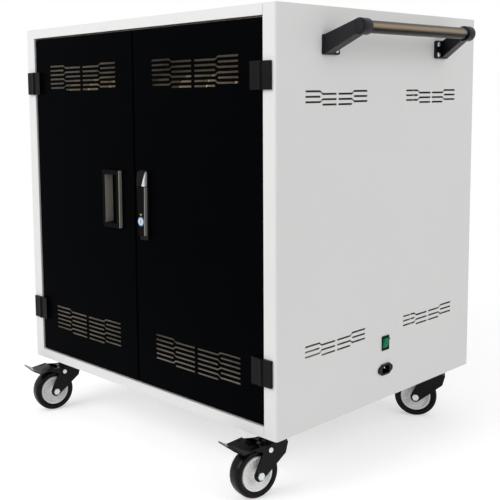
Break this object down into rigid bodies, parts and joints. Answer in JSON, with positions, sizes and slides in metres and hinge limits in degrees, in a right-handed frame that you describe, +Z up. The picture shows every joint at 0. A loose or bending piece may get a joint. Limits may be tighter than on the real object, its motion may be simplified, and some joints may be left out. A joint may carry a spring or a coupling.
{
  "type": "charging cart",
  "caption": "Steel cabinet on swivel casters for charging laptops upright in divided bays behind lockable double doors, with a side push handle and a mains inlet.",
  "frame": {"origin": "on the floor, in the middle of the whole cart's outline seen from above, casters and push handle included", "axes": "+Z up, -Y towards the front doors, +X towards the side with the push handle, the mains switch and the inlet"},
  "size_m": [0.8824, 0.7504, 0.935],
  "materials": {
    "white_paint": "semi-gloss powder coat",
    "grey_paint": "satin powder coat",
    "black_paint": "satin powder coat",
    "black_zinc": "satin black zinc",
    "zinc": "bright zinc",
    "pull_metal": "black with a satin metal cup",
    "lock_black": "satin",
    "chrome": "polished",
    "divider_plastic": "fine grain",
    "black_plastic": "fine grain",
    "green_lens": "translucent green, lit",
    "brass_contact": "plated",
    "tube_steel": "champagne brushed",
    "bracket_plastic": "moulded grain",
    "fork_black": "gloss black",
    "wheel_white": "moulded",
    "tyre_rubber": "smooth rubber"
  },
  "bodies": {
    "cabinet": {"left_side_panel": "white_paint", "right_side_panel": "white_paint", "top_panel": "white_paint", "base_panel": "white_paint", "frame_hinge_leaves": "black_zinc", "hinge_pins": "zinc", "lower_shelf": "grey_paint", "upper_shelf": "grey_paint", "lower_dividers": "divider_plastic", "upper_dividers": "divider_plastic", "partition_walls": "grey_paint", "power_strips": "black_plastic", "adapter_trays": "grey_paint", "power_unit": "grey_paint", "switch_bezel": "black_plastic", "inlet_housing": "black_plastic", "inlet_blades": "brass_contact", "handle_tube": "tube_steel", "front_handle_bracket": "bracket_plastic", "rear_handle_bracket": "bracket_plastic", "handle_screws": "zinc", "caster_plates": "fork_black", "caster_bolts": "zinc"},
    "left_door": {"left_door": "black_paint", "door_pull": "pull_metal", "left_door_hinge_leaves": "black_zinc"},
    "right_door": {"right_door": "black_paint", "lock_base": "lock_black", "rod_guides": "zinc", "right_door_hinge_leaves": "black_zinc"},
    "lock_hub": {"lock_hub": "chrome", "lock_cam": "zinc"},
    "lock_lever": {"lock_lever": "lock_black"},
    "key_cylinder": {"key_cylinder": "chrome"},
    "upper_rod": {"upper_rod": "zinc"},
    "lower_rod": {"lower_rod": "zinc"},
    "back_door": {"back_door": "white_paint", "back_door_hinge_leaves": "black_zinc"},
    "back_lock": {"back_lock": "zinc"},
    "switch_rocker": {"switch_rocker": "green_lens"},
    "front_left_swivel": {"front_left_fork": "fork_black", "front_left_axle": "zinc", "front_left_rivets": "zinc"},
    "front_left_wheel": {"front_left_hub": "wheel_white", "front_left_tyre": "tyre_rubber"},
    "front_left_pedal": {"front_left_pedal": "fork_black"},
    "front_right_swivel": {"front_right_fork": "fork_black", "front_right_axle": "zinc", "front_right_rivets": "zinc"},
    "front_right_wheel": {"front_right_hub": "wheel_white", "front_right_tyre": "tyre_rubber"},
    "front_right_pedal": {"front_right_pedal": "fork_black"},
    "rear_left_swivel": {"rear_left_fork": "fork_black", "rear_left_axle": "zinc"},
    "rear_left_wheel": {"rear_left_hub": "wheel_white", "rear_left_tyre": "tyre_rubber"},
    "rear_right_swivel": {"rear_right_fork": "fork_black", "rear_right_axle": "zinc"},
    "rear_right_wheel": {"rear_right_hub": "wheel_white", "rear_right_tyre": "tyre_rubber"}
  },
  "joints": [
    {"name": "left_door_swing", "type": "hinge", "parent": "cabinet", "child": "left_door", "pos_m": [-0.4075, -0.323, 0.5325], "axis": [0, 0, -1], "range_deg": [0, 110]},
    {"name": "right_door_swing", "type": "hinge", "parent": "cabinet", "child": "right_door", "pos_m": [0.325, -0.323, 0.5325], "axis": [0, 0, 1], "range_deg": [0, 110]},
    {"name": "lock_turn", "type": "hinge", "parent": "right_door", "child": "lock_hub", "pos_m": [-0.008, -0.3165, 0.6015], "axis": [0, -1, 0], "range_deg": [0, 90]},
    {"name": "lever_lift", "type": "hinge", "parent": "lock_hub", "child": "lock_lever", "pos_m": [-0.008, -0.3275, 0.5845], "axis": [-1, 0, 0], "range_deg": [0, 20]},
    {"name": "key_turn", "type": "hinge", "parent": "lock_lever", "child": "key_cylinder", "pos_m": [-0.008, -0.329, 0.5105], "axis": [0, -1, 0], "range_deg": [0, 90]},
    {"name": "upper_rod_slide", "type": "slide", "parent": "right_door", "child": "upper_rod", "axis": [0, 0, -1], "range_m": [0, 0.012]},
    {"name": "lower_rod_slide", "type": "slide", "parent": "right_door", "child": "lower_rod", "axis": [0, 0, 1], "range_m": [0, 0.012]},
    {"name": "back_door_swing", "type": "hinge", "parent": "cabinet", "child": "back_door", "pos_m": [-0.4075, 0.371, 0.5325], "axis": [0, 0, 1], "range_deg": [0, 110]},
    {"name": "back_lock_turn", "type": "hinge", "parent": "back_door", "child": "back_lock", "pos_m": [0.29325, 0.3645, 0.5325], "axis": [0, -1, 0], "range_deg": [0, 90]},
    {"name": "switch_tilt", "type": "hinge", "parent": "cabinet", "child": "switch_rocker", "pos_m": [0.35875, 0.0265, 0.25], "axis": [0, -1, 0], "range_deg": [0, 18]},
    {"name": "front_left_swivel_turn", "type": "hinge", "parent": "cabinet", "child": "front_left_swivel", "pos_m": [-0.38125, -0.2685, 0.13], "axis": [0, 0, 1], "continuous": true},
    {"name": "front_left_wheel_roll", "type": "hinge", "parent": "front_left_swivel", "child": "front_left_wheel", "pos_m": [-0.38977, -0.30758, 0.049], "axis": [0.977, -0.213, 0], "continuous": true},
    {"name": "front_left_pedal_press", "type": "hinge", "parent": "front_left_swivel", "child": "front_left_pedal", "pos_m": [-0.38509, -0.28609, 0.097], "axis": [0.977, -0.213, 0], "range_deg": [0, 10], "stiffness_Nm_per_rad": 4, "springref_deg": -20.05},
    {"name": "front_right_swivel_turn", "type": "hinge", "parent": "cabinet", "child": "front_right_swivel", "pos_m": [0.29875, -0.2685, 0.13], "axis": [0, 0, 1], "continuous": true},
    {"name": "front_right_wheel_roll", "type": "hinge", "parent": "front_right_swivel", "child": "front_right_wheel", "pos_m": [0.29023, -0.30758, 0.049], "axis": [0.977, -0.213, 0], "continuous": true},
    {"name": "front_right_pedal_press", "type": "hinge", "parent": "front_right_swivel", "child": "front_right_pedal", "pos_m": [0.29491, -0.28609, 0.097], "axis": [0.977, -0.213, 0], "range_deg": [0, 10], "stiffness_Nm_per_rad": 4, "springref_deg": -20.05},
    {"name": "rear_left_swivel_turn", "type": "hinge", "parent": "cabinet", "child": "rear_left_swivel", "pos_m": [-0.38125, 0.3165, 0.13], "axis": [0, 0, 1], "continuous": true},
    {"name": "rear_left_wheel_roll", "type": "hinge", "parent": "rear_left_swivel", "child": "rear_left_wheel", "pos_m": [-0.36125, 0.28186, 0.049], "axis": [0.866, 0.5, 0], "continuous": true},
    {"name": "rear_right_swivel_turn", "type": "hinge", "parent": "cabinet", "child": "rear_right_swivel", "pos_m": [0.29875, 0.3165, 0.13], "axis": [0, 0, 1], "continuous": true},
    {"name": "rear_right_wheel_roll", "type": "hinge", "parent": "rear_right_swivel", "child": "rear_right_wheel", "pos_m": [0.26483, 0.2953, 0.049], "axis": [0.5299, -0.848, 0], "continuous": true}
  ],
  "couplings": [
    {"joint": "upper_rod_slide", "follows": "lock_turn", "m_per_rad": 0.0076387},
    {"joint": "lower_rod_slide", "follows": "lock_turn", "m_per_rad": 0.0076387}
  ]
}
